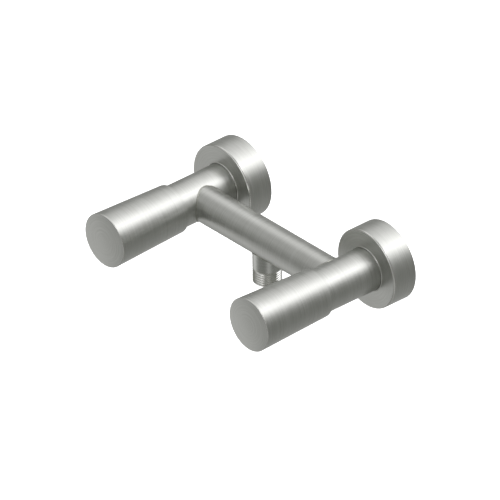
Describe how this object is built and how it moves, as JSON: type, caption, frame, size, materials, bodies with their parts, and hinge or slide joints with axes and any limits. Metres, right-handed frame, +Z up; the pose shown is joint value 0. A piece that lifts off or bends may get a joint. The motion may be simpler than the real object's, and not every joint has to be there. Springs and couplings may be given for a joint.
{
  "type": "exposed two-handle shower mixer",
  "caption": "Wall-mounted tubular shower mixer: round wall covers, valve bodies joined by a cross bar with a threaded hose outlet below, and conical turning handles.",
  "frame": {"origin": "on the finished wall's face, midway between the axes of the two valve bodies", "axes": "+X to the right as the user faces the wall, towards the cold side; +Y into the wall; +Z up, with the hose outlet pointing down"},
  "size_m": [0.2094, 0.1423, 0.0631],
  "materials": {
    "brushed_steel": "brushed stainless steel, satin",
    "spring_steel": "drawn stainless wire and screws",
    "brass": "turned brass",
    "seal_rubber": "black EPDM",
    "ceramic": "lapped alumina ceramic",
    "white_plastic": "moulded acetal"
  },
  "bodies": {
    "mixer_body": {"mixing_bar": "brushed_steel", "outlet": "brushed_steel", "hot_wall_union": "brass", "hot_union_nut": "brushed_steel", "hot_union_gasket": "seal_rubber", "hot_inlet_strainer": "white_plastic", "hot_check_valve_body": "white_plastic", "hot_check_valve_spring": "spring_steel", "hot_valve_body": "brushed_steel", "hot_seat_seal": "seal_rubber", "hot_fixed_disc": "ceramic", "hot_headwork_body": "brass", "hot_bonnet_seal": "seal_rubber", "hot_glide_ring": "white_plastic", "cold_wall_union": "brass", "cold_union_nut": "brushed_steel", "cold_union_gasket": "seal_rubber", "cold_inlet_strainer": "white_plastic", "cold_check_valve_body": "white_plastic", "cold_check_valve_spring": "spring_steel", "cold_valve_body": "brushed_steel", "cold_seat_seal": "seal_rubber", "cold_fixed_disc": "ceramic", "cold_headwork_body": "brass", "cold_bonnet_seal": "seal_rubber", "cold_glide_ring": "white_plastic"},
    "hot_handle": {"hot_spindle": "brass", "hot_spindle_seal": "seal_rubber", "hot_stop_ring": "brass", "hot_spindle_clip": "spring_steel", "hot_turning_disc": "ceramic", "hot_handle": "brushed_steel", "hot_handle_hub": "brass", "hot_hub_screw": "spring_steel", "hot_grub_screw": "spring_steel"},
    "hot_cover": {"hot_escutcheon": "brushed_steel", "hot_escutcheon_seal": "seal_rubber"},
    "hot_poppet": {"hot_check_valve_poppet": "white_plastic"},
    "cold_handle": {"cold_spindle": "brass", "cold_spindle_seal": "seal_rubber", "cold_stop_ring": "brass", "cold_spindle_clip": "spring_steel", "cold_turning_disc": "ceramic", "cold_handle": "brushed_steel", "cold_handle_hub": "brass", "cold_hub_screw": "spring_steel", "cold_grub_screw": "spring_steel"},
    "cold_cover": {"cold_escutcheon": "brushed_steel", "cold_escutcheon_seal": "seal_rubber"},
    "cold_poppet": {"cold_check_valve_poppet": "white_plastic"}
  },
  "joints": [
    {"name": "hot_handle_turn", "type": "hinge", "parent": "mixer_body", "child": "hot_handle", "pos_m": [-0.075, -0.1, 0], "axis": [0, -1, 0], "range_deg": [0, 90]},
    {"name": "hot_cover_slide", "type": "slide", "parent": "mixer_body", "child": "hot_cover", "axis": [0, -1, 0], "range_m": [0, 0.01]},
    {"name": "hot_check_valve_lift", "type": "slide", "parent": "mixer_body", "child": "hot_poppet", "axis": [0, -1, 0], "range_m": [0, 0.003], "stiffness_N_per_m": 100, "springref_m": -0.006, "deforming": ["hot_check_valve_spring"]},
    {"name": "cold_handle_turn", "type": "hinge", "parent": "mixer_body", "child": "cold_handle", "pos_m": [0.075, -0.1, 0], "axis": [0, 1, 0], "range_deg": [0, 90]},
    {"name": "cold_cover_slide", "type": "slide", "parent": "mixer_body", "child": "cold_cover", "axis": [0, -1, 0], "range_m": [0, 0.01]},
    {"name": "cold_check_valve_lift", "type": "slide", "parent": "mixer_body", "child": "cold_poppet", "axis": [0, -1, 0], "range_m": [0, 0.003], "stiffness_N_per_m": 100, "springref_m": -0.006, "deforming": ["cold_check_valve_spring"]}
  ]
}
